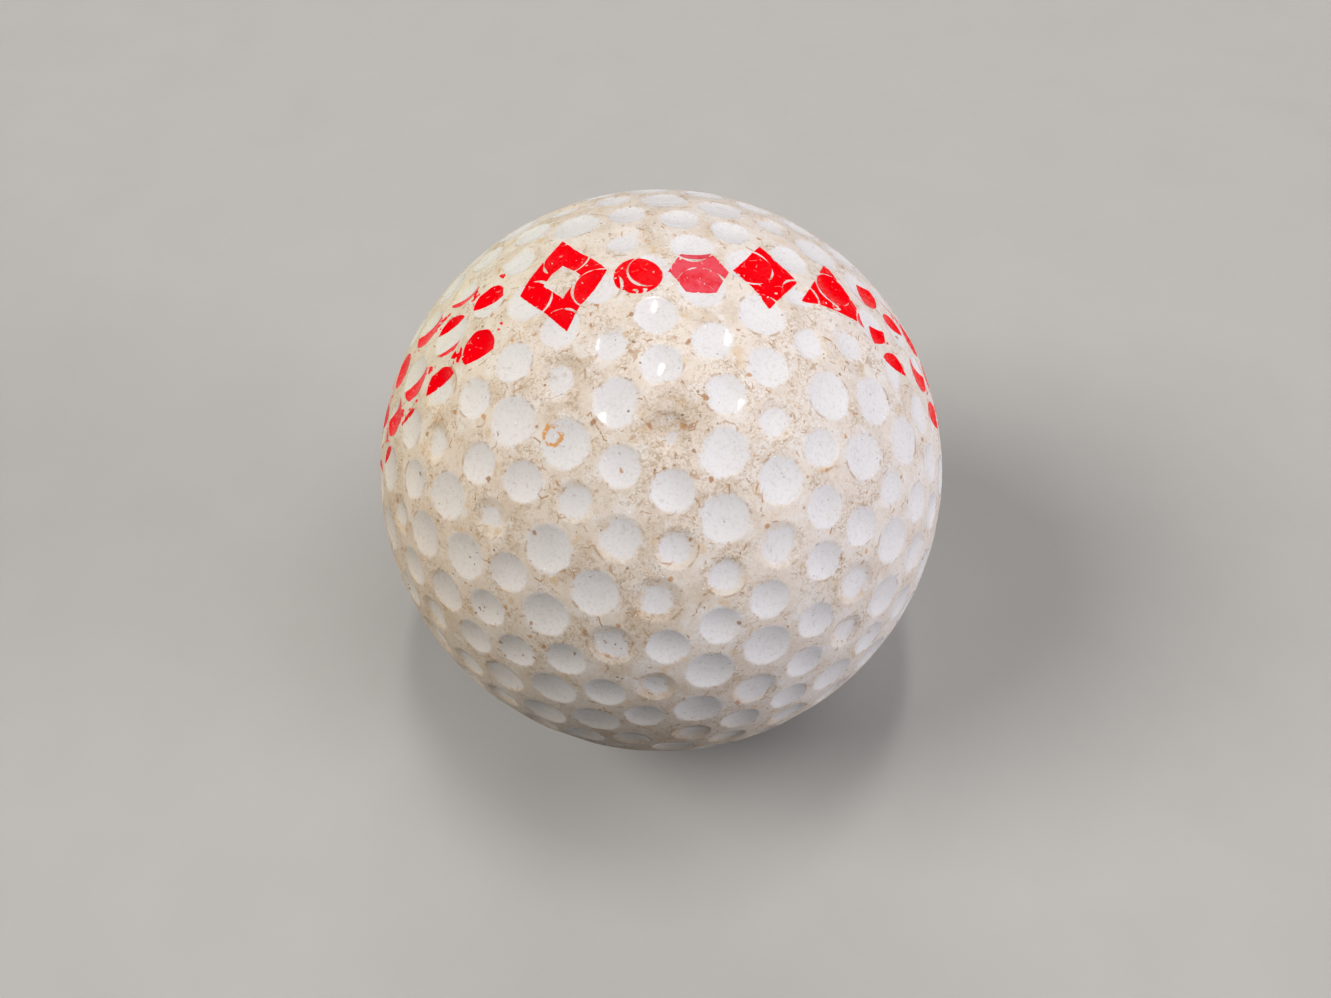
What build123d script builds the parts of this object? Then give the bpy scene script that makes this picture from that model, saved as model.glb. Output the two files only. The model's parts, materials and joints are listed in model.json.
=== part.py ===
from build123d import *
from math import atan, cos, degrees, radians, sin, tan
import os

# A two-piece golf ball: a solid rubber core inside a dimpled ionomer cover, which is moulded from
# two half shells that meet on a plane seam, with a band of plain red marks printed over the top.
# The origin is the ball's centre. The printed band lies in the XZ plane, with its middle at +Z.

# ---- Driving dimensions, in millimetres ----
BALL_DIAMETER = 42.67
CORE_DIAMETER = 38.1
BALL_RADIUS = BALL_DIAMETER / 2
CORE_RADIUS = CORE_DIAMETER / 2
DIMPLE_DEPTH = 0.21
INK_FILM = 0.05

# ---- Dimple layout, in degrees ----
# The 432 dimples repeat about the twelve vertices of an icosahedron. A dimple is placed by its
# angle from its vertex (polar) and by its bearing about the vertex, where bearing 0 points along
# an edge to the next vertex and FACE_BEARING points at the middle of a face.
VERTEX_SPACING = degrees(atan(2))
SECTOR_ANGLE = 72
FACE_BEARING = SECTOR_ANGLE / 2
LARGE_DIMPLE = 4.3
SMALL_DIMPLE = 3.7
# The pairs beside the middle of an edge are as far from one end of the edge as from the other.
EDGE_PAIR_BEARING = 17.7
HALF_EDGE = radians(VERTEX_SPACING / 2)
EDGE_PAIR_POLAR = degrees(atan(tan(HALF_EDGE) / cos(radians(EDGE_PAIR_BEARING))))
# Each family is (polar angle, bearing, angular radius) and repeats five times about its vertex.
DIMPLE_FAMILIES = (
    (10.8, FACE_BEARING, LARGE_DIMPLE),
    (16.2, 0, SMALL_DIMPLE),
    (22.65, 23.5, SMALL_DIMPLE),
    (22.65, -23.5, SMALL_DIMPLE),
    (26.0, 0, LARGE_DIMPLE),
    (30.6, FACE_BEARING, SMALL_DIMPLE),
    (EDGE_PAIR_POLAR, EDGE_PAIR_BEARING, LARGE_DIMPLE),
)

# ---- How the mould's own frame sits in the ball's frame, in degrees ----
# The mould's pole is a vertex dimple, and its seam is the plane through the centre square to it.
POLE_AZIMUTH = -107.5
POLE_ELEVATION = 29.9
POLE_SPIN = 56.1
MOULD = Rot(0, 0, POLE_AZIMUTH) * Rot(0, 90 - POLE_ELEVATION, 0) * Rot(0, 0, POLE_SPIN)
# Half a turn about an axis in the seam, and half a sector on, lays the front half on the back half.
SEAM_FLIP = Rot(0, 0, FACE_BEARING) * Rot(180, 0, 0)

# ---- Printed marks ----
# A place on the band is (along, across) in degrees: along from +Z towards +X, and across from the
# band's middle towards +Y. Outlines are in millimetres, with X along the band and Y across it.
LEFT_STRIPES = (-79.0, -29.5)
RIGHT_STRIPES = (42.5, 74.0)
NEAR_STRIPE = (-8.0, -1.5)
FAR_STRIPE = (3.5, 10.0)
LARGE_DIAMOND = (6.2, 8.4)
LARGE_DIAMOND_HOLE = (2.6, 3.4)
LARGE_DIAMOND_PLACE = (-17.6, 1.5)
DISC_RADIUS = 1.6
DISC_PLACE = (-4.0, -1.0)
HEXAGON_RADIUS = 2.0
HEXAGON_PLACE = (6.7, -0.5)
SMALL_DIAMOND = (4.6, 5.8)
SMALL_DIAMOND_PLACE = (19.1, 0.5)
TRIANGLE_RADIUS = 3.2
TRIANGLE_TURN = 90
TRIANGLE_PLACE = (33.4, 1.0)

# ---- Cutting tools, in millimetres ----
# A dimple tool stands a little past the dimple's rim. A mark's block runs through the surface.
TOOL_MARGIN = 0.12
TOOL_HEIGHT = 1.2
MARK_REACH = 1.6


def on_sphere(polar, bearing):
    """The frame of the surface point at this angle from the local +Z and this bearing about it."""
    return Rot(0, 0, bearing) * Rot(0, polar, 0)


def vertex_frames():
    """The twelve icosahedron vertices, each with its local +X turned towards a neighbour."""
    frames = [Rot(0, 0, 0), Rot(0, 180, 0)]
    for k in range(5):
        frames.append(on_sphere(VERTEX_SPACING, k * SECTOR_ANGLE) * Rot(0, 0, FACE_BEARING))
        frames.append(on_sphere(180 - VERTEX_SPACING, k * SECTOR_ANGLE + FACE_BEARING))
    return frames


def dimple_frames():
    """(frame, angular radius) of every dimple on the ball, in the mould's frame."""
    dimples = []
    for vertex in vertex_frames():
        dimples.append((vertex, LARGE_DIMPLE))
        for polar, bearing, radius in DIMPLE_FAMILIES:
            for k in range(5):
                place = vertex * on_sphere(polar, bearing + k * SECTOR_ANGLE)
                dimples.append((place, radius))
    return dimples


def direction(frame):
    """The unit vector along a frame's local +Z."""
    return (frame * Pos(0, 0, 1)).position


def dimple_tool(angular_radius, film=0.0):
    """The button that cuts one dimple at +Z. A film leaves that much of the dimple filled."""
    chord_radius = BALL_RADIUS * sin(radians(angular_radius))
    floor_radius = (chord_radius**2 + DIMPLE_DEPTH**2) / (2 * DIMPLE_DEPTH)
    floor_height = BALL_RADIUS * cos(radians(angular_radius)) - DIMPLE_DEPTH
    button = Pos(0, 0, BALL_RADIUS) * Cylinder(chord_radius + TOOL_MARGIN, TOOL_HEIGHT)
    return button & (Pos(0, 0, floor_height + floor_radius) * Sphere(floor_radius - film))


def cover_half(dimples):
    """The half shell above the seam, in the mould's frame."""
    tools = {radius: dimple_tool(radius) for radius in (LARGE_DIMPLE, SMALL_DIMPLE)}
    dome = Sphere(BALL_RADIUS, arc_size1=0, align=(Align.CENTER, Align.CENTER, Align.MIN))
    above = [(frame, radius) for frame, radius in dimples if direction(frame).Z > 0]
    return dome - Sphere(CORE_RADIUS) - [frame * tools[radius] for frame, radius in above]


def stamp(outline, place):
    """The block that pushes a flat outline through the surface at a place on the band."""
    along, across = place
    block = Pos(0, 0, BALL_RADIUS - MARK_REACH / 2) * extrude(outline, MARK_REACH)
    return Rot(0, along, 0) * Rot(-across, 0, 0) * block


def stripe(span, edges):
    """The block through the surface that follows the band from one angle to another."""
    start, end = span
    low, high = (radians(edge) for edge in edges)
    inner = BALL_RADIUS - MARK_REACH / 2
    outer = BALL_RADIUS + MARK_REACH / 2
    polar_corners = ((inner, low), (outer, low), (outer, high), (inner, high))
    corners = [(radius * cos(angle), radius * sin(angle)) for radius, angle in polar_corners]
    section = make_face(Polyline(*corners, close=True))
    return Rot(0, start - 90, 0) * revolve(section, Axis.Y, end - start)


def diamond(size):
    width, height = size
    corners = ((width / 2, 0), (0, height / 2), (-width / 2, 0), (0, -height / 2))
    return make_face(Polyline(*corners, close=True))


def mark_blocks():
    """Each printed mark's block, by node name. The marks are plain shapes with no meaning."""
    ring = diamond(LARGE_DIAMOND) - diamond(LARGE_DIAMOND_HOLE)
    triangle = RegularPolygon(TRIANGLE_RADIUS, 3, rotation=TRIANGLE_TURN)
    return {
        "print_stripe_left_near": stripe(LEFT_STRIPES, NEAR_STRIPE),
        "print_stripe_left_far": stripe(LEFT_STRIPES, FAR_STRIPE),
        "print_diamond_large": stamp(ring, LARGE_DIAMOND_PLACE),
        "print_disc": stamp(Circle(DISC_RADIUS), DISC_PLACE),
        "print_hexagon": stamp(RegularPolygon(HEXAGON_RADIUS, 6), HEXAGON_PLACE),
        "print_diamond_small": stamp(diamond(SMALL_DIAMOND), SMALL_DIAMOND_PLACE),
        "print_triangle": stamp(triangle, TRIANGLE_PLACE),
        "print_stripe_right_near": stripe(RIGHT_STRIPES, NEAR_STRIPE),
        "print_stripe_right_far": stripe(RIGHT_STRIPES, FAR_STRIPE),
    }


def ink_film(block, dimples):
    """The film of ink that a mark's block leaves on the dimpled surface."""
    middle = block.center(CenterOf.BOUNDING_BOX)
    reach = block.bounding_box().diagonal / 2 + BALL_RADIUS * sin(radians(LARGE_DIMPLE))
    covered = block & Sphere(BALL_RADIUS + INK_FILM)
    bare = block & Sphere(BALL_RADIUS)
    for frame, radius in dimples:
        place = MOULD * frame
        if (direction(place) * BALL_RADIUS - middle).length < reach:
            covered -= place * dimple_tool(radius, film=INK_FILM)
            bare -= place * dimple_tool(radius)
    return covered - bare


def main():
    os.makedirs("parts", exist_ok=True)
    dimples = dimple_frames()
    half = cover_half(dimples)
    nodes = {
        "core": Sphere(CORE_RADIUS),
        "cover_front_half": MOULD * half,
        "cover_back_half": MOULD * SEAM_FLIP * half,
    }
    for name, block in mark_blocks().items():
        nodes[name] = ink_film(block, dimples)
    for name, shape in nodes.items():
        export_step(shape, f"parts/{name}.step")


main()
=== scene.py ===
import json
import math

import bpy
import numpy as np
from mathutils import Matrix, Vector, noise
from mathutils.geometry import delaunay_2d_cdt


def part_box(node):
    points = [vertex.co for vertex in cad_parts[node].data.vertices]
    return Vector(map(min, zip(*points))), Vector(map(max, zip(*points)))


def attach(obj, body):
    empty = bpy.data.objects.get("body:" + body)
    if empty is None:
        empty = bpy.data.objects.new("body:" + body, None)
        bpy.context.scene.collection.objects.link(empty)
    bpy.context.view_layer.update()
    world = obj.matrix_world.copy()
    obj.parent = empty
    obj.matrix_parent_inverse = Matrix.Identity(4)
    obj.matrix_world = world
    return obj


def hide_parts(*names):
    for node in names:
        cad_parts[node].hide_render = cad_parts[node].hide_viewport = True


# The looks of a used practice golf ball: a dimpled white cover with beige grime on its lands, and a
# worn band of plain red marks. Lengths are in metres, in the CAD model's frame: origin at the ball's
# centre, the printed band in the XZ plane with its middle at +Z, and the camera on the -Y side.

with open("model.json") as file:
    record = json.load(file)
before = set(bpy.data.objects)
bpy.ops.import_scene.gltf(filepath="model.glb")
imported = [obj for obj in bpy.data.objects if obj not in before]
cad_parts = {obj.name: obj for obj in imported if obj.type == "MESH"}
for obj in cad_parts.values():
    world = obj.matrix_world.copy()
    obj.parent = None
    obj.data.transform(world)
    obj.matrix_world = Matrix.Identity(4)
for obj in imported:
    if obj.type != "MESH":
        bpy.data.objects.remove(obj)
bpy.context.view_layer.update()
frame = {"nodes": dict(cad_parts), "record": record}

MM = 0.001

# ---- The ball, from the frame ----
TEE_SEAT = next(mount for mount in frame["record"]["mounts"] if mount["name"] == "tee_seat")
BALL_RADIUS = -TEE_SEAT["pos_m"][2]
CORE_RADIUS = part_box("core")[1].z

# ---- Dimple layout, as in the CAD model: angles in degrees ----
DIMPLE_DEPTH = 0.21 * MM
VERTEX_SPACING = math.degrees(math.atan(2))
SECTOR_ANGLE = 72
FACE_BEARING = SECTOR_ANGLE / 2
LARGE_DIMPLE = 4.3
SMALL_DIMPLE = 3.7
EDGE_PAIR_BEARING = 17.7
HALF_EDGE = math.radians(VERTEX_SPACING / 2)
EDGE_PAIR_POLAR = math.degrees(math.atan(math.tan(HALF_EDGE) / math.cos(math.radians(EDGE_PAIR_BEARING))))
DIMPLE_FAMILIES = (
    (10.8, FACE_BEARING, LARGE_DIMPLE),
    (16.2, 0, SMALL_DIMPLE),
    (22.65, 23.5, SMALL_DIMPLE),
    (22.65, -23.5, SMALL_DIMPLE),
    (26.0, 0, LARGE_DIMPLE),
    (30.6, FACE_BEARING, SMALL_DIMPLE),
    (EDGE_PAIR_POLAR, EDGE_PAIR_BEARING, LARGE_DIMPLE),
)
POLE_AZIMUTH = -107.5
POLE_ELEVATION = 29.9
POLE_SPIN = 56.1

# ---- The cover's surface and its mesh ----
RIM_ROUNDING = 0.011 * MM
RING_STEPS = (0.24, 0.46, 0.66, 0.81, 0.90, 0.96, 1.02, 1.09)
RING_POINTS = 40
LAND_SPACING = 0.30 * MM
LAND_START = 1.16
SEAM_POINTS = 600
INNER_SPACING = 1.6 * MM

# ---- Printed marks, as in the CAD model: places in degrees, outlines in metres ----
LEFT_STRIPES = (-79.0, -29.5)
RIGHT_STRIPES = (42.5, 74.0)
NEAR_STRIPE = (-8.0, -1.5)
FAR_STRIPE = (3.5, 10.0)
LARGE_DIAMOND = (6.2 * MM, 8.4 * MM)
LARGE_DIAMOND_HOLE = (2.6 * MM, 3.4 * MM)
LARGE_DIAMOND_PLACE = (-17.6, 1.5)
DISC_RADIUS = 1.6 * MM
DISC_PLACE = (-4.0, -1.0)
HEXAGON_RADIUS = 2.0 * MM
HEXAGON_PLACE = (6.7, -0.5)
SMALL_DIAMOND = (4.6 * MM, 5.8 * MM)
SMALL_DIAMOND_PLACE = (19.1, 0.5)
TRIANGLE_RADIUS = 3.2 * MM
TRIANGLE_TURN = 90
TRIANGLE_PLACE = (33.4, 1.0)
INK_GRID = 0.07 * MM
INK_RISE = 0.012 * MM
INK_ROOT = 0.010 * MM
# The ink's edge passes no nearer to a point of the grid than this.
LEAST_CUT = 0.002 * MM
# Flecks of ink with fewer triangles than this have flaked off.
LEAST_ISLAND = 20
# Wear from 0 to 1 bares the lands between the dimples. It is heaviest on the stripes.
STRIPE_WEAR = 0.78
LARGE_DIAMOND_WEAR = 0.25
SMALL_MARK_WEAR = 0.3
TRIANGLE_WEAR = 0.4

# ---- Dirt on the cover ----
# Grime starts at the first distance from a dimple's centre and is full at the second. They are in dimple
# radii, counted with the 0.3 or so that the ragged edge's noise adds.
LAND_EDGE = (1.23, 1.48)
# Patches: azimuth, elevation, the angle within which the patch is full, and the angle past which it is gone.
BARE_PATCH = (-90, 60, 1, 11)
MOTTLED_PATCH = (-92, 62, 6, 46)
DIRTY_CORNERS = (
    (-107, 16, 1, 9),
    (-126, 17, 2, 12),
    (-133, 27, 1, 6),
    (-110, 72, 1, 8),
    (-160, 5, 3, 16),
)
RUST_RING = (-127, 54)
# Old stains, and one patch of painted shade: the patch, and the colour that tints the cover there.
STAINS_AND_PAINTED_SHADE = (
    ((-162, 0, 5, 78), (0.98, 0.90, 0.76, 1.0)),
    ((154, 35, 5, 50), (0.94, 0.96, 0.84, 1.0)),
    ((-90, 61, 0, 8), (0.84, 0.80, 0.76, 1.0)),
    # A warm stain on the underside, on the camera's side, that is also painted shade: it darkens the bottom
    # of the ball.
    ((-94, -24, 6, 36), (0.70, 0.64, 0.55, 1.0)),
)
# Mottles and fibres: size, the shift that picks the pattern, and strength.
MOTTLES = (
    (0.36 * MM, 7.0, 0.66),
    (0.16 * MM, 19.0, 0.50),
)
FIBRES = (
    (1.9 * MM, 21.0, 0.75),
    (1.3 * MM, 43.0, 0.55),
)
# Blobs, then crumbs: size, how rare they are, how much less rare in the dirty corners, and the two browns.
SPOTS = (
    (0.70 * MM, 0.86, 0.22, (152, 100, 50), (206, 150, 86)),
    (0.34 * MM, 0.97, 0.42, (104, 72, 44), (160, 116, 74)),
)

# ---- Lights: sizes in metres, and the fills' width in degrees ----
LIGHT_DISTANCE = 0.5
KEY_SIZE = (0.030, 0.15)
FILL_WIDTH = 32

# ---- Camera: the photograph's viewing angle ----
CAMERA_AZIMUTH = -94.2
CAMERA_ELEVATION = 52.1
CAMERA_DISTANCE = 4.85 * BALL_RADIUS
CAMERA_LENS = 36.05
SENSOR_WIDTH = 36.0
# The ball sits a little above and to the left of the middle of the picture.
AIM_BELOW = 2.14 * MM
AIM_RIGHT = 0.31 * MM


# ---------------------------------------------------------------- directions on the ball


def turn(axis, degrees):
    """The 3x3 matrix of a turn about a named axis."""
    return np.array(Matrix.Rotation(math.radians(degrees), 3, axis))


def on_sphere(polar, bearing):
    """The frame of the surface point at this angle from the local +Z and this bearing about it."""
    return turn("Z", bearing) @ turn("Y", polar)


def towards(azimuth, elevation):
    """The unit vector at this azimuth from +X and this elevation from the XY plane, in degrees."""
    return on_sphere(90 - elevation, azimuth)[:, 2]


MOULD = on_sphere(90 - POLE_ELEVATION, POLE_AZIMUTH) @ turn("Z", POLE_SPIN)


def vertex_frames():
    """The twelve icosahedron vertices, each with its local +X turned towards a neighbour."""
    frames = [np.eye(3), turn("Y", 180)]
    for k in range(5):
        frames.append(on_sphere(VERTEX_SPACING, k * SECTOR_ANGLE) @ turn("Z", FACE_BEARING))
        frames.append(on_sphere(180 - VERTEX_SPACING, k * SECTOR_ANGLE + FACE_BEARING))
    return frames


def dimple_layout():
    """The frames and angular radii, in radians, of every dimple, in the ball's frame."""
    places = []
    for vertex in vertex_frames():
        places.append((vertex, LARGE_DIMPLE))
        for polar, bearing, radius in DIMPLE_FAMILIES:
            for k in range(5):
                places.append((vertex @ on_sphere(polar, bearing + k * SECTOR_ANGLE), radius))
    frames = np.array([MOULD @ place for place, _ in places])
    return frames, np.radians([radius for _, radius in places])


DIMPLE_FRAMES, DIMPLE_RADII = dimple_layout()
DIMPLE_CENTRES = DIMPLE_FRAMES[:, :, 2]
DIMPLE_DIRT = np.random.default_rng(7).random(len(DIMPLE_RADII))


# ---------------------------------------------------------------- the dimpled surface


def nearest_dimple(directions):
    """For each direction, the index of its nearest dimple and the angle from that dimple's centre."""
    index = np.empty(len(directions), int)
    block = 20000
    for start in range(0, len(directions), block):
        part = directions[start:start + block]
        angles = np.arccos(np.clip(part @ DIMPLE_CENTRES.T, -1, 1))
        index[start:start + block] = (angles / DIMPLE_RADII).argmin(axis=1)
    cosine = np.einsum("ij,ij->i", directions, DIMPLE_CENTRES[index])
    return index, np.arccos(np.clip(cosine, -1, 1))


def relief(angle, radius):
    """How far the surface stands above the ball's sphere, at an angle from a dimple's centre."""
    chord = BALL_RADIUS * np.sin(radius)
    floor_radius = (chord**2 + DIMPLE_DEPTH**2) / (2 * DIMPLE_DEPTH)
    centre = BALL_RADIUS * np.cos(radius) - DIMPLE_DEPTH + floor_radius
    inside = np.maximum(floor_radius**2 - (centre * np.sin(angle))**2, 0)
    floor = centre * np.cos(angle) - np.sqrt(inside) - BALL_RADIUS
    return -RIM_ROUNDING * np.logaddexp(0, -floor / RIM_ROUNDING)


def surface(directions):
    """Points and normals of the dimpled surface, with each point's rim distance and dimple."""
    index, angle = nearest_dimple(directions)
    radius = DIMPLE_RADII[index]
    step = 1e-4
    slope = (relief(angle + step, radius) - relief(angle - step, radius)) / (2 * step)
    height = BALL_RADIUS + relief(angle, radius)
    outward = directions * np.cos(angle)[:, None] - DIMPLE_CENTRES[index]
    outward /= np.maximum(np.linalg.norm(outward, axis=1), 1e-9)[:, None]
    normals = directions * height[:, None] - outward * slope[:, None]
    normals /= np.linalg.norm(normals, axis=1)[:, None]
    return directions * height[:, None], normals, angle / radius, index


# ---------------------------------------------------------------- meshes


def new_object(name, points, faces, material):
    """A smooth-shaded mesh object, linked to the scene."""
    mesh = bpy.data.meshes.new(name)
    mesh.from_pydata(points.tolist(), [], faces.tolist())
    mesh.materials.append(material)
    mesh.shade_smooth()
    piece = bpy.data.objects.new(name, mesh)
    bpy.context.scene.collection.objects.link(piece)
    return piece


def add_attribute(mesh, name, values):
    attribute = mesh.attributes.new(name, "FLOAT", "POINT")
    attribute.data.foreach_set("value", np.asarray(values, np.float32))


def set_normals(mesh, normals, smooth_faces):
    """Gives the first faces the exact surface's normals and leaves the rest to the mesh."""
    corners = np.empty(len(mesh.loops), int)
    mesh.loops.foreach_get("vertex_index", corners)
    custom = np.zeros((len(corners), 3))
    custom[:3 * smooth_faces] = normals[corners[:3 * smooth_faces]]
    mesh.normals_split_custom_set(custom.tolist())


def spread(spacing):
    """Directions spread evenly over the sphere, this far apart on the ball's surface."""
    count = int(4 * math.pi * BALL_RADIUS**2 / (spacing**2 * 0.866))
    k = np.arange(count) + 0.5
    height = 1 - 2 * k / count
    bearing = k * math.pi * (3 - math.sqrt(5))
    level = np.sqrt(1 - height**2)
    return np.stack([level * np.cos(bearing), level * np.sin(bearing), height], axis=1)


def seam_ring():
    """Directions round the seam, in the mould's frame."""
    bearing = np.arange(SEAM_POINTS) * 2 * math.pi / SEAM_POINTS
    return np.stack([np.cos(bearing), np.sin(bearing), np.zeros(SEAM_POINTS)], axis=1)


def triangulate(directions, side):
    """Triangles over directions on one side of the seam, facing outwards, in the mould's frame."""
    flat = directions[:, :2] / (1 + side * directions[:, 2:])
    points = [Vector(point) for point in flat]
    _, _, faces, origins, _, _ = delaunay_2d_cdt(points, [], [], 0, 1e-9, True)
    order = np.array([origin[0] for origin in origins])
    triangles = order[np.array(faces)]
    a, b, c = (directions[triangles[:, k]] for k in range(3))
    inward = np.einsum("ij,ij->i", np.cross(b - a, c - a), a + b + c) < 0
    triangles[inward] = triangles[inward][:, ::-1]
    return triangles


def dimple_rings(side):
    """Directions at every dimple's centre and on its rings, on one side, in the mould's frame."""
    rings = []
    for place, radius in zip(DIMPLE_FRAMES, DIMPLE_RADII):
        local = MOULD.T @ place
        if local[2, 2] * side < 0:
            continue
        rings.append(local[:, 2][None])
        for ring, share in enumerate(RING_STEPS):
            bearing = (np.arange(RING_POINTS) + 0.5 * (ring % 2)) * 2 * math.pi / RING_POINTS
            reach = share * radius
            circle = np.stack([
                math.sin(reach) * np.cos(bearing),
                math.sin(reach) * np.sin(bearing),
                np.full(RING_POINTS, math.cos(reach)),
            ], axis=1)
            rings.append(circle @ local.T)
    return np.concatenate(rings)


def land_points():
    """Directions spread over the lands between the dimples, in the mould's frame."""
    directions = spread(LAND_SPACING)
    index, angle = nearest_dimple(directions @ MOULD.T)
    return directions[angle > LAND_START * DIMPLE_RADII[index]]


def cover_half(name, side, material):
    """One half of the cover as a closed shell: dimpled outside, smooth inside, flat at the seam."""
    seam = seam_ring()
    clear = LAND_SPACING / BALL_RADIUS
    middle = np.concatenate([dimple_rings(side), land_points()])
    middle = middle[middle[:, 2] * side > 0.35 * clear]
    outer = np.concatenate([seam, middle])
    outer_faces = triangulate(outer, side)
    inside = spread(INNER_SPACING)
    inside = inside[inside[:, 2] * side > 0.5 * INNER_SPACING / BALL_RADIUS]
    inner = np.concatenate([seam, inside])
    inner_faces = triangulate(inner, side)[:, ::-1] + len(outer)
    near = np.arange(SEAM_POINTS)
    far = (near + 1) % SEAM_POINTS
    if side < 0:
        near, far = far, near
    deep = len(outer)
    wall = np.concatenate([
        np.stack([near, near + deep, far], axis=1),
        np.stack([far, near + deep, far + deep], axis=1),
    ])
    points, normals, rim, index = surface(outer @ MOULD.T)
    inner_points = CORE_RADIUS * inner @ MOULD.T
    faces = np.concatenate([outer_faces, wall, inner_faces])
    piece = new_object(name, np.concatenate([points, inner_points]), faces, material)
    add_attribute(piece.data, "rim", np.concatenate([rim, np.full(len(inner), LAND_START)]))
    add_attribute(piece.data, "dirt", np.concatenate([DIMPLE_DIRT[index], np.zeros(len(inner))]))
    set_normals(piece.data, normals, len(outer_faces))
    return piece


# ---------------------------------------------------------------- printed ink


def grain(directions, size, shift):
    """Smooth noise from -1 to 1 over the ball, with patches of this size. The shift picks another pattern."""
    scaled = directions * (BALL_RADIUS / size) + shift
    return np.array([noise.noise(point) for point in scaled.tolist()])


# An outline is a function from flat points to how far inside it they lie, below zero outside.


def diamond(size):
    across, up = 2 / size[0], 2 / size[1]
    return lambda x, y: (1 - np.abs(x) * across - np.abs(y) * up) / math.hypot(across, up)


def diamond_ring(size, hole):
    body, opening = diamond(size), diamond(hole)
    return lambda x, y: np.minimum(body(x, y), -opening(x, y))


def disc(radius):
    return lambda x, y: radius - np.hypot(x, y)


def polygon(sides, radius, first_corner=0):
    """A regular polygon: its radius is to a corner, and the first corner is at this bearing in degrees."""
    middle = radius * math.cos(math.pi / sides)
    facing = math.radians(first_corner) + (np.arange(sides) + 0.5) * 2 * math.pi / sides
    return lambda x, y: middle - np.max(
        [x * math.cos(side) + y * math.sin(side) for side in facing], axis=0
    )


def grid(low, high, step):
    """The points of a grid that reaches just past a rectangle, and its triangles."""
    columns = np.arange(low[0] - step, high[0] + 2 * step, step)
    rows = np.arange(low[1] - step, high[1] + 2 * step, step)
    x, y = (values.ravel() for values in np.meshgrid(columns, rows))
    corner = (np.arange(len(rows) - 1)[:, None] * len(columns) + np.arange(len(columns) - 1)).ravel()
    right, up, both = corner + 1, corner + len(columns), corner + len(columns) + 1
    lower = np.stack([corner, right, both], axis=1)
    upper = np.stack([corner, both, up], axis=1)
    return x, y, np.concatenate([lower, upper])


def stamped(outline, place, reach):
    """Directions, triangles and inside distance of a flat outline pushed through the surface."""
    along, across = place
    x, y, triangles = grid((-reach, -reach), (reach, reach), INK_GRID)
    local = np.stack([x, y, np.sqrt(BALL_RADIUS**2 - x**2 - y**2)], axis=1) / BALL_RADIUS
    return local @ (turn("Y", along) @ turn("X", -across)).T, triangles, outline(x, y)


def striped(span, edges):
    """Directions, triangles and inside distance of a stripe along the band."""
    low = np.radians((span[0], edges[0]))
    high = np.radians((span[1], edges[1]))
    along, across, triangles = grid(low, high, INK_GRID / BALL_RADIUS)
    directions = np.stack([
        np.sin(along) * np.cos(across), np.sin(across), np.cos(along) * np.cos(across)
    ], axis=1)
    within = np.minimum.reduce([along - low[0], high[0] - along, across - low[1], high[1] - across])
    return directions, triangles, BALL_RADIUS * within


def ink_left(directions, wear):
    """How far inside worn ink each point lies. The ink wears off just outside rims and on the lands."""
    index, angle = nearest_dimple(directions)
    gap = (angle - DIMPLE_RADII[index]) * BALL_RADIUS
    bare_width = 0.055 * MM + 0.11 * MM * grain(directions, 0.9 * MM, 11)
    rim_left = np.abs(gap - 0.05 * MM) - bare_width
    scuffed = 0.6 * grain(directions, 1.1 * MM, 23) + 0.4 * grain(directions, 0.3 * MM, 31)
    land_left = (scuffed + 0.75 - 1.3 * wear) * 0.35 * MM
    sheltered = 3 * np.maximum(0.12 * MM - gap, 0)
    pinhole = 0.62 - grain(directions, 0.20 * MM, 47)
    return np.minimum.reduce([rim_left, land_left + sheltered, pinhole * 0.2 * MM])


def without_crumbs(triangles, count):
    """The triangles without the islands that have fewer than LEAST_ISLAND of them."""
    island = np.arange(count)
    while True:
        joined = island.copy()
        np.minimum.at(joined, triangles, island[triangles].min(axis=1)[:, None])
        joined = joined[joined]
        if (joined == island).all():
            break
        island = joined
    sizes = np.bincount(island[triangles[:, 0]], minlength=count)
    return triangles[sizes[island[triangles[:, 0]]] >= LEAST_ISLAND]


def clip(directions, triangles, field):
    """The part of a triangle mesh where the field is above zero, cut along its zero line, less its crumbs."""
    points, cuts, kept = list(directions), {}, []

    def cut(a, b):
        key = (min(a, b), max(a, b))
        if key not in cuts:
            share = field[a] / (field[a] - field[b])
            cuts[key] = len(points)
            points.append(directions[a] + share * (directions[b] - directions[a]))
        return cuts[key]

    inside = field > 0
    for corners in triangles[inside[triangles].any(axis=1)].tolist():
        loop = []
        for a, b in zip(corners, corners[1:] + corners[:1]):
            if inside[a]:
                loop.append(a)
            if inside[a] != inside[b]:
                loop.append(cut(a, b))
        kept += [(loop[0], b, c) for b, c in zip(loop[1:], loop[2:])]
    used, order = np.unique(without_crumbs(np.array(kept), len(points)), return_inverse=True)
    left = np.array(points)[used]
    return left / np.linalg.norm(left, axis=1)[:, None], order.reshape(-1, 3)


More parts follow.
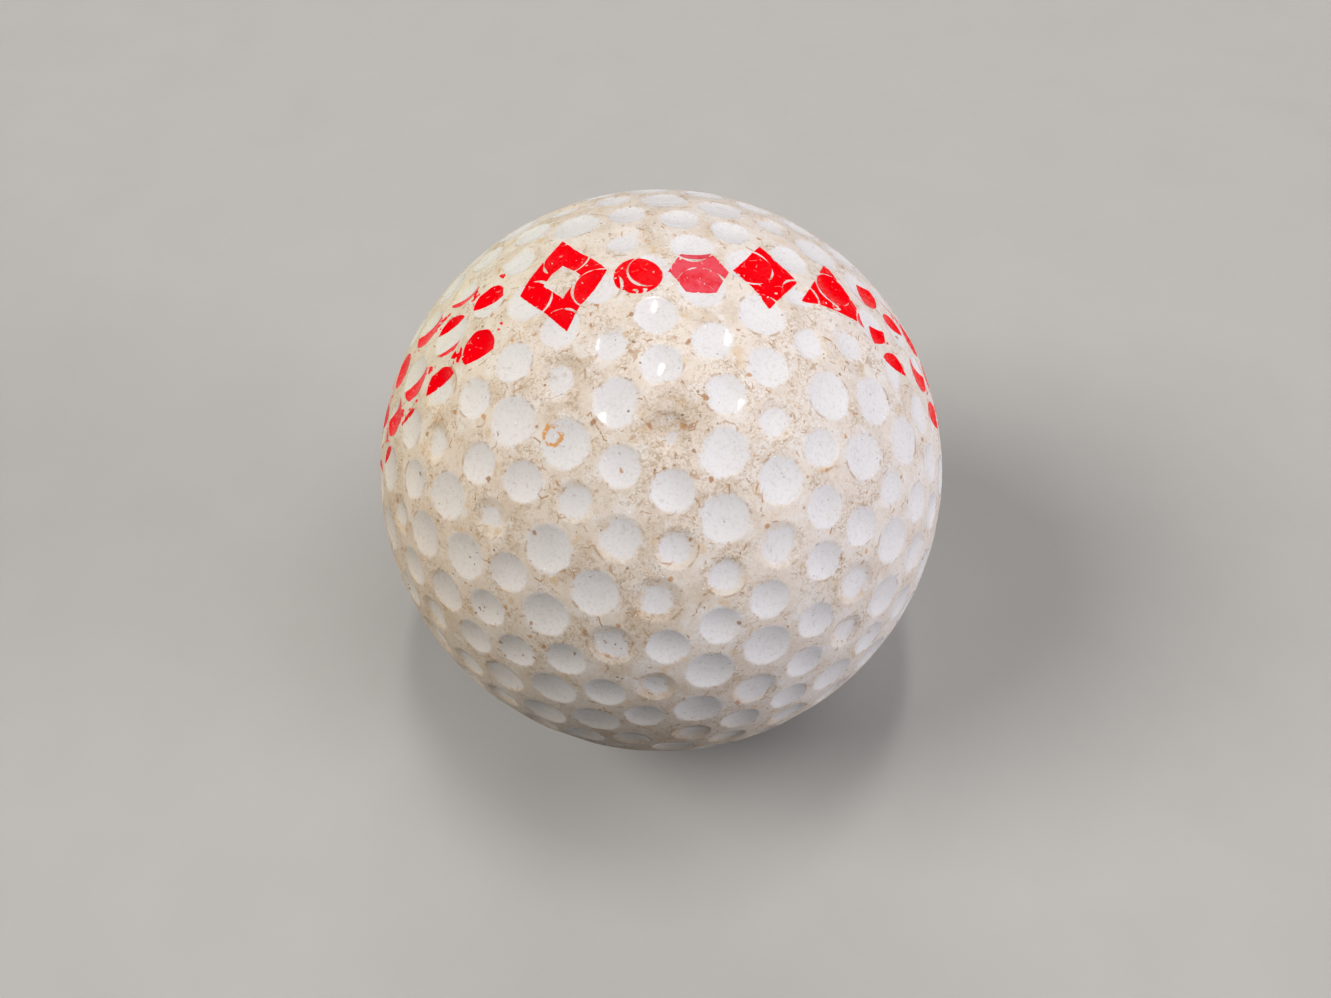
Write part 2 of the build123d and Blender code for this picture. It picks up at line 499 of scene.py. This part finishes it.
def ink_mark(name, shape, wear, material):
    """One printed mark as a closed film of ink on the dimpled surface, worn through in places."""
    directions, triangles, within = shape
    ragged = within + 0.03 * MM * grain(directions, 0.25 * MM, 5)
    field = np.minimum(ragged, ink_left(directions, wear))
    field[np.abs(field) < LEAST_CUT] = -LEAST_CUT
    directions, top = clip(directions, triangles, field)
    points, normals, _, _ = surface(directions)
    edges = np.concatenate([top[:, [0, 1]], top[:, [1, 2]], top[:, [2, 0]]])
    twins = {(b, a) for a, b in edges.tolist()}
    border = np.array([edge for edge in edges.tolist() if tuple(edge) not in twins])
    count = len(points)
    a, b = border[:, 0], border[:, 1]
    walls = np.concatenate([
        np.stack([b, a, a + count], axis=1),
        np.stack([b, a + count, b + count], axis=1),
    ])
    faces = np.concatenate([top, walls, top[:, ::-1] + count])
    film = np.concatenate([points + INK_RISE * normals, points - INK_ROOT * normals])
    piece = new_object(name, film, faces, material)
    set_normals(piece.data, normals, len(top))
    return piece


# ---------------------------------------------------------------- materials


def tone(red, green, blue):
    """A colour given as a paint chart gives it, 0 to 255, in the linear values that shaders use."""
    linear = []
    for value in (red / 255, green / 255, blue / 255):
        linear.append(value / 12.92 if value <= 0.04045 else ((value + 0.055) / 1.055)**2.4)
    return (*linear, 1.0)


class Paint:
    """One material, whose nodes are added and joined by short calls. Sizes are in metres."""

    def __init__(self, name):
        self.material = bpy.data.materials.new(name)
        self.material.use_nodes = True
        self.tree = self.material.node_tree
        self.shader = self.tree.nodes["Principled BSDF"]
        self.place = self.add("ShaderNodeTexCoord").outputs["Object"]

    def set(self, socket, value):
        if isinstance(value, bpy.types.NodeSocket):
            self.tree.links.new(value, socket)
        else:
            socket.default_value = value

    def add(self, kind, inputs=None, **settings):
        node = self.tree.nodes.new(kind)
        for key, value in settings.items():
            setattr(node, key, value)
        for key, value in (inputs or {}).items():
            self.set(node.inputs[key], value)
        return node

    def shade(self, **values):
        """Sets the shader's sockets: base_color is Base Color, and so on."""
        for key, value in values.items():
            self.set(self.shader.inputs[key.replace("_", " ").title().replace("Ior", "IOR")], value)

    def attribute(self, name):
        return self.add("ShaderNodeAttribute", attribute_name=name).outputs["Fac"]

    def noise(self, size, detail=3.0, roughness=0.55, distortion=0.0, shift=0.0):
        inputs = {"Scale": 1 / size, "Detail": detail, "Roughness": roughness, "Distortion": distortion}
        place = self.add("ShaderNodeVectorMath", {0: self.place, 1: (shift, shift, shift)})
        return self.add("ShaderNodeTexNoise", {"Vector": place.outputs[0], **inputs}).outputs["Fac"]

    def cells(self, size, feature="F1", warp=0.0):
        """Voronoi cells: the node, whose distance is in cell sizes. Warp bends them, in metres."""
        bend = self.add("ShaderNodeTexNoise", {"Vector": self.place, "Scale": 0.7 / size, "Detail": 2.0})
        centred = self.add("ShaderNodeVectorMath", {0: bend.outputs["Color"], 1: (0.5, 0.5, 0.5)},
                           operation="SUBTRACT")
        moved = self.add("ShaderNodeVectorMath", {0: centred.outputs[0], "Scale": warp}, operation="SCALE")
        place = self.add("ShaderNodeVectorMath", {0: self.place, 1: moved.outputs[0]})
        return self.add("ShaderNodeTexVoronoi", {"Vector": place.outputs[0], "Scale": 1 / size},
                        feature=feature)

    def maths(self, operation, *values):
        inputs = dict(enumerate(values))
        return self.add("ShaderNodeMath", inputs, operation=operation).outputs[0]

    def between(self, value, low, high, start=0.0, end=1.0):
        """Goes smoothly from start to end as the value goes from low to high."""
        inputs = {"Value": value, "From Min": low, "From Max": high, "To Min": start, "To Max": end}
        return self.add("ShaderNodeMapRange", inputs, interpolation_type="SMOOTHSTEP").outputs[0]

    def blend(self, share, first, second):
        node = self.add("ShaderNodeMix", data_type="RGBA")
        self.set(node.inputs[0], share)
        self.set(node.inputs[6], first)
        self.set(node.inputs[7], second)
        return node.outputs[2]

    def bump(self, height, depth):
        """Raises the surface by up to depth, in metres, where height is 1."""
        inputs = {"Height": height, "Distance": depth, "Strength": 1.0}
        self.shade(normal=self.add("ShaderNodeBump", inputs).outputs[0])


def near(paint, azimuth, elevation, inner, outer):
    """1 within the inner angle of a direction on the ball and 0 past the outer one, in degrees."""
    centre = Vector(towards(azimuth, elevation)) * BALL_RADIUS
    apart = paint.add("ShaderNodeVectorMath", {0: paint.place, 1: centre}, operation="DISTANCE")
    reach = [2 * BALL_RADIUS * math.sin(math.radians(angle) / 2) for angle in (outer, inner)]
    return paint.between(apart.outputs["Value"], *reach)


def land_mask(paint, rim, worn):
    """1 on the grimy lands and 0 in the clean dimples. The edge is ragged, and some dimples fill up."""
    dirt = paint.between(paint.attribute("dirt"), 0.55, 1.0)
    creep = paint.maths("MULTIPLY", dirt, paint.noise(1.3 * MM, shift=9.0))
    edge = paint.maths("MULTIPLY_ADD", paint.noise(0.9 * MM, detail=4.0), 0.50, rim)
    edge = paint.maths("MULTIPLY_ADD", paint.noise(0.16 * MM, detail=2.0, shift=3.0), 0.16, edge)
    edge = paint.maths("MULTIPLY_ADD", creep, 0.9, edge)
    smear = paint.between(paint.noise(1.1 * MM, detail=3.0, shift=15.0), 0.40, 0.70, 0.0, 0.8)
    edge = paint.maths("MULTIPLY_ADD", worn, smear, edge)
    return paint.between(edge, *LAND_EDGE)


def clean_colour(paint):
    """Bluish white, with a fine grey dust."""
    clean = paint.blend(paint.noise(5 * MM), tone(234, 232, 234), tone(226, 223, 225))
    dust = paint.noise(0.24 * MM, detail=4.0, roughness=0.7, shift=61.0)
    return paint.blend(paint.between(dust, 0.46, 0.72, 0.0, 0.42), clean, tone(198, 192, 188))


def grime_colour(paint):
    """Pale beige in soft patches: greyer, more ochre, and rubbed nearly white."""
    pale = paint.noise(0.8 * MM, detail=5.0, roughness=0.7)
    grime = paint.blend(pale, tone(238, 230, 222), tone(224, 209, 195))
    patch = paint.between(paint.noise(3.2 * MM, detail=4.0, shift=5.0), 0.46, 0.66, 0.0, 0.4)
    grime = paint.blend(patch, grime, tone(196, 175, 150))
    ochre = paint.between(paint.noise(1.4 * MM, detail=3.0, shift=67.0), 0.58, 0.72, 0.0, 0.6)
    grime = paint.blend(ochre, grime, tone(218, 184, 134))
    rubbed = paint.noise(1.5 * MM, detail=4.0, roughness=0.6, shift=71.0)
    return paint.blend(paint.between(rubbed, 0.50, 0.64, 0.0, 0.75), grime, tone(236, 231, 228))


def mottled(paint, colour, land, worn):
    """Adds fine brown mottling, in drifts."""
    drift = paint.noise(2.2 * MM, detail=3.0, shift=13.0)
    drift = paint.maths("MULTIPLY_ADD", near(paint, *MOTTLED_PATCH), 0.05, drift)
    drift = paint.maths("MAXIMUM", paint.between(drift, 0.42, 0.66), worn)
    for size, shift, strength in MOTTLES:
        mottle = paint.noise(size, detail=3.0, roughness=0.65, distortion=1.2, shift=shift)
        mottle = paint.between(mottle, 0.47, 0.66, 0.0, strength)
        mottle = paint.maths("MULTIPLY", mottle, paint.between(drift, 0.0, 1.0, 0.26, 0.90))
        mottle = paint.maths("MULTIPLY", mottle, paint.between(land, 0.0, 1.0, 0.05, 1.0))
        colour = paint.blend(mottle, colour, tone(172, 140, 102))
    return colour


def spotted(paint, colour, land, worn):
    """Adds rust-brown blobs, and darker crumbs crowded into the dirtiest corners. Also gives the crumbs."""
    corners = worn
    for corner in DIRTY_CORNERS:
        corners = paint.maths("MAXIMUM", corners, near(paint, *corner))
    for size, rarity, crowding, dark, light in SPOTS:
        cells = paint.cells(size, warp=size)
        chance = paint.add("ShaderNodeSeparateColor", {"Color": cells.outputs["Color"]}).outputs
        reach = paint.between(chance[1], 0.0, 1.0, 0.08, 0.30)
        spot = paint.between(paint.maths("SUBTRACT", cells.outputs["Distance"], reach), 0.05, -0.09)
        sparse = paint.maths("MULTIPLY_ADD", corners, -crowding, rarity)
        sparse = paint.maths("SUBTRACT", sparse, paint.between(land, 0.0, 1.0, -0.10, 0.0))
        spot = paint.maths("MULTIPLY", spot, paint.maths("GREATER_THAN", chance[0], sparse))
        brown = paint.blend(chance[2], tone(*dark), tone(*light))
        colour = paint.blend(paint.maths("MULTIPLY", spot, 0.75), colour, brown)
    return colour, spot


def fibrous(paint, colour, land):
    """Adds short ochre fibres pressed into the surface."""
    for size, shift, strength in FIBRES:
        lines = paint.cells(size, feature="DISTANCE_TO_EDGE", warp=1.1 * MM).outputs["Distance"]
        strand = paint.between(lines, 0.07 * MM / size, 0.02 * MM / size)
        broken = paint.between(paint.noise(0.8 * MM, detail=2.0, shift=shift), 0.59, 0.65)
        strand = paint.maths("MULTIPLY", strand, broken)
        strand = paint.maths("MULTIPLY", strand, paint.between(land, 0.0, 1.0, 0.25, 1.0))
        colour = paint.blend(paint.maths("MULTIPLY", strand, strength), colour, tone(172, 120, 68))
    return colour


def edged(paint, colour, rim):
    """Adds brown arcs where dirt has caught under a dimple's rim."""
    off_rim = paint.maths("ABSOLUTE", paint.maths("SUBTRACT", rim, 1.02))
    arc = paint.between(off_rim, 0.09, 0.02)
    caught = paint.between(paint.noise(1.3 * MM, detail=3.0, shift=75.0), 0.55, 0.66, 0.0, 0.55)
    return paint.blend(paint.maths("MULTIPLY", arc, caught), colour, tone(168, 128, 84))


def pits_and_painted_glints(paint, colour):
    """Adds small dark pits, and a few near-white dots of painted glint, everywhere."""
    cells = paint.cells(0.62 * MM)
    dot = paint.between(cells.outputs["Distance"], 0.11, 0.06)
    chance = paint.add("ShaderNodeSeparateColor", {"Color": cells.outputs["Color"]}).outputs[0]
    pit = paint.maths("MULTIPLY", dot, paint.maths("GREATER_THAN", chance, 0.70))
    colour = paint.blend(paint.maths("MULTIPLY", pit, 0.6), colour, tone(110, 100, 96))
    # Painted glints: tiny near-white dots that stand in for sparkles of light.
    painted_glint = paint.maths("MULTIPLY", dot, paint.maths("LESS_THAN", chance, 0.12))
    return paint.blend(painted_glint, colour, tone(252, 250, 246))


def rusted(paint, colour):
    """Adds one broken orange rust ring."""
    centre = Vector(towards(*RUST_RING)) * BALL_RADIUS
    apart = paint.add("ShaderNodeVectorMath", {0: paint.place, 1: centre}, operation="DISTANCE")
    wander = paint.noise(0.6 * MM, shift=51.0)
    wander = paint.maths("MULTIPLY_ADD", wander, 0.7 * MM, apart.outputs["Value"])
    ring = paint.maths("ABSOLUTE", paint.maths("SUBTRACT", wander, 0.95 * MM))
    ring = paint.between(ring, 0.22 * MM, 0.08 * MM)
    ring = paint.maths("MULTIPLY", ring, paint.between(paint.noise(0.5 * MM, shift=57.0), 0.44, 0.52))
    return paint.blend(paint.maths("MULTIPLY", ring, 0.85), colour, tone(224, 152, 50))


def stained_and_shaded(paint, colour):
    """Tints the colour inside each old stain, and darkens the underside with painted shade."""
    for place, tint in STAINS_AND_PAINTED_SHADE:
        mix = {0: near(paint, *place), 6: colour, 7: tint}
        colour = paint.add("ShaderNodeMix", mix, data_type="RGBA", blend_type="MULTIPLY").outputs[2]
    return colour


def cover_material():
    """White ionomer: clean and glossy in the dimples, with beige grime, fibres and specks on the lands."""
    paint = Paint("cover_ionomer")
    rim = paint.attribute("rim")
    worn = near(paint, *BARE_PATCH)
    land = land_mask(paint, rim, worn)

    # The grime is thinner on the ball's +X side.
    across = paint.add("ShaderNodeSeparateXYZ", {0: paint.place}).outputs[0]
    thickness = paint.between(across, 0.8 * BALL_RADIUS, -0.3 * BALL_RADIUS, 0.65, 1.0)
    grimy = paint.maths("MULTIPLY", land, thickness)
    colour = paint.blend(grimy, clean_colour(paint), grime_colour(paint))

    colour = mottled(paint, colour, land, worn)
    colour, crumbs = spotted(paint, colour, land, worn)
    colour = fibrous(paint, colour, land)
    colour = edged(paint, colour, rim)
    colour = pits_and_painted_glints(paint, colour)
    colour = rusted(paint, colour)
    colour = stained_and_shaded(paint, colour)

    rough = paint.maths("MULTIPLY_ADD", land, 0.30, 0.07)
    rough = paint.maths("MULTIPLY_ADD", paint.noise(0.35 * MM, shift=27.0), 0.14, rough)
    scuff = paint.maths("MULTIPLY", paint.noise(0.20 * MM, detail=4.0, roughness=0.65, shift=33.0), land)
    ripple = paint.maths("MULTIPLY_ADD", paint.noise(0.42 * MM, detail=3.0, shift=37.0), 0.40, scuff)
    paint.bump(paint.maths("MULTIPLY_ADD", crumbs, 0.5, ripple), 0.020 * MM)
    paint.shade(base_color=colour, roughness=rough, ior=1.5)
    paint.shade(subsurface_weight=0.12, subsurface_scale=0.5 * MM, subsurface_radius=(1.0, 0.85, 0.7))
    return paint.material


def ink_material(name, fresh, worn, worn_share):
    """Red printing ink under a clear coat, thinner in patches, with pale scratches."""
    paint = Paint(name)
    thin = paint.between(paint.noise(0.9 * MM, detail=4.0), 0.45, 0.70, 0.0, worn_share)
    colour = paint.blend(thin, fresh, worn)
    lines = paint.cells(1.2 * MM, feature="DISTANCE_TO_EDGE", warp=0.6 * MM).outputs["Distance"]
    scratch = paint.between(lines, 0.02, 0.006)
    broken = paint.between(paint.noise(0.5 * MM, shift=3.0), 0.55, 0.62)
    scratch = paint.maths("MULTIPLY", scratch, paint.maths("MULTIPLY", broken, 0.6))
    colour = paint.blend(scratch, colour, tone(233, 170, 160))
    rough = paint.maths("MULTIPLY_ADD", paint.noise(0.4 * MM, shift=5.0), 0.25, 0.16)
    paint.bump(paint.noise(0.3 * MM, detail=3.0, shift=8.0), 0.012 * MM)
    paint.shade(base_color=colour, roughness=rough, ior=1.5, specular_ior_level=0.18)
    return paint.material


def core_material():
    """Moulded rubber, dull green-grey with a fine flow texture."""
    paint = Paint("core_rubber")
    colour = paint.blend(paint.noise(2.5 * MM, detail=4.0), tone(112, 140, 128), tone(92, 122, 112))
    rough = paint.maths("MULTIPLY_ADD", paint.noise(0.6 * MM), 0.2, 0.55)
    paint.bump(paint.noise(0.3 * MM, detail=4.0), 0.02 * MM)
    paint.shade(base_color=colour, roughness=rough)
    return paint.material


def floor_material():
    paint = Paint("floor_pale")
    colour = paint.blend(paint.noise(9 * MM, detail=5.0), tone(184, 182, 180), tone(177, 175, 173))
    paint.bump(paint.noise(0.8 * MM, detail=3.0), 0.02 * MM)
    paint.shade(base_color=colour, roughness=0.75)
    return paint.material


# ---------------------------------------------------------------- the ball


def add_piece(piece, node):
    """Puts a piece in a CAD node's place, and hides that node."""
    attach(piece, "root")
    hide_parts(node)


def build_ball():
    cover = cover_material()
    for name, side in (("cover_front_half", 1), ("cover_back_half", -1)):
        add_piece(cover_half(name + "_skin", side, cover), name)
    core = frame["nodes"]["core"]
    core.data.materials.clear()
    core.data.materials.append(core_material())

    inks = {
        "red_ink": ink_material("red_print", tone(242, 0, 14), tone(228, 10, 26), 0.6),
        "faded_red_ink": ink_material("faded_print", tone(226, 78, 92), tone(222, 40, 52), 0.9),
    }
    large_diamond = diamond_ring(LARGE_DIAMOND, LARGE_DIAMOND_HOLE)
    small_diamond = diamond(SMALL_DIAMOND)
    hexagon = polygon(6, HEXAGON_RADIUS)
    triangle = polygon(3, TRIANGLE_RADIUS, TRIANGLE_TURN)
    marks = (
        ("print_stripe_left_near", striped(LEFT_STRIPES, NEAR_STRIPE), STRIPE_WEAR, "red_ink"),
        ("print_stripe_left_far", striped(LEFT_STRIPES, FAR_STRIPE), STRIPE_WEAR, "red_ink"),
        ("print_diamond_large", stamped(large_diamond, LARGE_DIAMOND_PLACE, max(LARGE_DIAMOND) / 2),
         LARGE_DIAMOND_WEAR, "red_ink"),
        ("print_disc", stamped(disc(DISC_RADIUS), DISC_PLACE, DISC_RADIUS), SMALL_MARK_WEAR, "red_ink"),
        ("print_hexagon", stamped(hexagon, HEXAGON_PLACE, HEXAGON_RADIUS), SMALL_MARK_WEAR, "faded_red_ink"),
        ("print_diamond_small", stamped(small_diamond, SMALL_DIAMOND_PLACE, max(SMALL_DIAMOND) / 2),
         SMALL_MARK_WEAR, "red_ink"),
        ("print_triangle", stamped(triangle, TRIANGLE_PLACE, TRIANGLE_RADIUS), TRIANGLE_WEAR, "red_ink"),
        ("print_stripe_right_near", striped(RIGHT_STRIPES, NEAR_STRIPE), STRIPE_WEAR, "red_ink"),
        ("print_stripe_right_far", striped(RIGHT_STRIPES, FAR_STRIPE), STRIPE_WEAR, "red_ink"),
    )
    for name, shape, wear, slot in marks:
        add_piece(ink_mark(name + "_ink", shape, wear, inks[slot]), name)


# ---------------------------------------------------------------- floor, lights and camera


def build_floor():
    bpy.ops.mesh.primitive_plane_add(size=3.0, location=(0, 0, -BALL_RADIUS))
    floor = bpy.context.object
    floor.name = "floor"
    floor.data.materials.append(floor_material())
    # The photograph's ball lies on a black mat, so the pale floor throws no light up at it.
    floor.visible_diffuse = False


def aim(thing, target):
    thing.rotation_euler = (target - thing.location).to_track_quat("-Z", "Y").to_euler()


def add_light(name, kind, azimuth, elevation, power, colour):
    """A light that faces the ball from this direction. Power is in watts, or W/m2 for a sun."""
    light = bpy.data.lights.new(name, kind)
    light.energy = power
    light.color = colour
    lamp = bpy.data.objects.new(name, light)
    bpy.context.scene.collection.objects.link(lamp)
    lamp.location = Vector(towards(azimuth, elevation)) * LIGHT_DISTANCE
    aim(lamp, Vector((0, 0, 0)))
    return lamp


def soft_fill(name, azimuth, elevation, power, colour):
    """A wide, far softbox, as bright on all of the floor as on the ball, that leaves no glints."""
    lamp = add_light(name, "SUN", azimuth, elevation, power, colour)
    lamp.data.angle = math.radians(FILL_WIDTH)
    lamp.visible_glossy = False


def build_lights():
    """A small key overhead, which makes the glints in the dimples, and large soft fills."""
    key = add_light("key", "AREA", 78, 83, 0.50, (1.0, 0.98, 0.94))
    key.data.shape = "RECTANGLE"
    key.data.size, key.data.size_y = KEY_SIZE
    soft_fill("left", -173, 44, 2.38, (1.0, 0.97, 0.92))
    soft_fill("right_low", -18, 4, 3.55, (0.98, 0.96, 1.0))
    soft_fill("right", -15, 68, 0.73, (1.0, 0.98, 0.98))
    soft_fill("back", 90, 30, 0.58, (1.0, 0.98, 0.98))


def build_backdrop():
    """A pale backdrop that adds almost no light of its own."""
    world = bpy.data.worlds.new("studio")
    world.use_nodes = True
    nodes, links = world.node_tree.nodes, world.node_tree.links
    dim = nodes["Background"]
    dim.inputs["Strength"].default_value = 0.03
    seen = nodes.new("ShaderNodeBackground")
    seen.inputs["Color"].default_value = tone(190, 188, 186)
    mix = nodes.new("ShaderNodeMixShader")
    links.new(nodes.new("ShaderNodeLightPath").outputs["Is Camera Ray"], mix.inputs[0])
    links.new(dim.outputs[0], mix.inputs[1])
    links.new(seen.outputs[0], mix.inputs[2])
    links.new(mix.outputs[0], nodes["World Output"].inputs["Surface"])
    bpy.context.scene.world = world


def build_camera():
    camera = bpy.data.objects.new("camera", bpy.data.cameras.new("camera"))
    bpy.context.scene.collection.objects.link(camera)
    camera.data.lens = CAMERA_LENS
    camera.data.sensor_width = SENSOR_WIDTH
    camera.data.clip_start = 1 * MM
    camera.location = Vector(towards(CAMERA_AZIMUTH, CAMERA_ELEVATION)) * CAMERA_DISTANCE
    aim(camera, Vector((0, 0, 0)))
    bpy.context.view_layer.update()
    right, up = camera.matrix_world.col[0].xyz, camera.matrix_world.col[1].xyz
    aim(camera, AIM_RIGHT * right - AIM_BELOW * up)
    bpy.context.scene.camera = camera


build_ball()
build_floor()
build_lights()
build_backdrop()
build_camera()
bpy.context.scene.view_settings.view_transform = "Standard"
